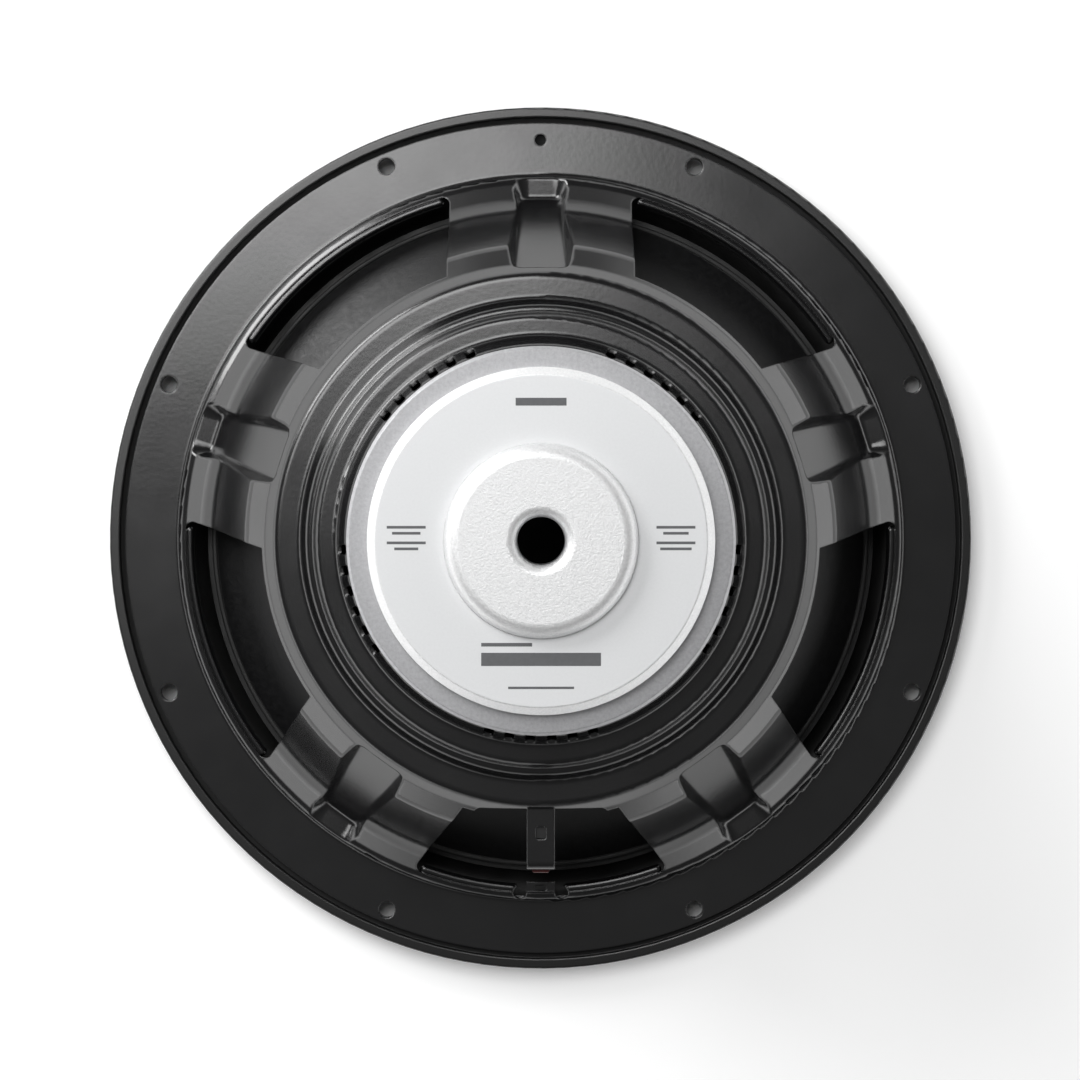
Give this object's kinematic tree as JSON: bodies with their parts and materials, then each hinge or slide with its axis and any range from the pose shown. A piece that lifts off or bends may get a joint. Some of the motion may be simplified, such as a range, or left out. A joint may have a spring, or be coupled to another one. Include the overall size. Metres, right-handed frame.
{
  "type": "car subwoofer speaker",
  "caption": "Round car subwoofer drive unit with a pressed steel basket, ferrite motor, moving cone and push terminals, lying on its front.",
  "frame": {"origin": "centre of the trim ring's front face, where the part lies face down", "axes": "+Z along the axis of the motor, from the cone towards the magnet; the terminals face -Y"},
  "size_m": [0.316, 0.316, 0.1435],
  "materials": {
    "black_enamel": "gloss",
    "trim_rubber": "satin",
    "zinc_steel": "satin",
    "ferrite": "matte",
    "label_foil": "satin",
    "surround_rubber": "matte",
    "spider_cloth": "matte",
    "cone_pulp": "satin",
    "cap_pulp": "satin",
    "former_foil": "satin",
    "coil_copper": "gloss",
    "collar_paper": "matte",
    "tinned_brass": "satin",
    "copper_braid": "satin",
    "black_nylon": "satin",
    "red_plastic": "gloss",
    "black_plastic": "gloss"
  },
  "bodies": {
    "frame": {"basket": "black_enamel", "trim_ring": "trim_rubber", "surround": "surround_rubber", "spider": "spider_cloth", "top_plate": "zinc_steel", "plate_stakes": "zinc_steel", "magnet": "ferrite", "yoke": "zinc_steel", "rating_label": "label_foil", "terminal_block": "black_nylon", "contact_positive": "tinned_brass", "contact_negative": "tinned_brass", "tinsel_lead_positive": "copper_braid", "tinsel_lead_negative": "copper_braid"},
    "moving_cone": {"cone": "cone_pulp", "dust_cap": "cap_pulp", "coil_former": "former_foil", "voice_coil": "coil_copper", "coil_collar": "collar_paper", "lead_eyelets": "tinned_brass", "cone_lead_wires": "copper_braid"},
    "button_positive": {"push_button_positive": "red_plastic"},
    "button_negative": {"push_button_negative": "black_plastic"}
  },
  "joints": [
    {"name": "cone_travel", "type": "slide", "parent": "frame", "child": "moving_cone", "axis": [0, 0, 1], "range_m": [-0.01, 0.01], "stiffness_N_per_m": 6000, "deforming": ["surround", "spider", "tinsel_lead_positive", "tinsel_lead_negative"]},
    {"name": "push_positive", "type": "slide", "parent": "frame", "child": "button_positive", "axis": [0, 1, 0], "range_m": [0, 0.0025], "stiffness_N_per_m": 300, "deforming": ["contact_positive"]},
    {"name": "push_negative", "type": "slide", "parent": "frame", "child": "button_negative", "axis": [0, 1, 0], "range_m": [0, 0.0025], "stiffness_N_per_m": 300, "deforming": ["contact_negative"]}
  ]
}
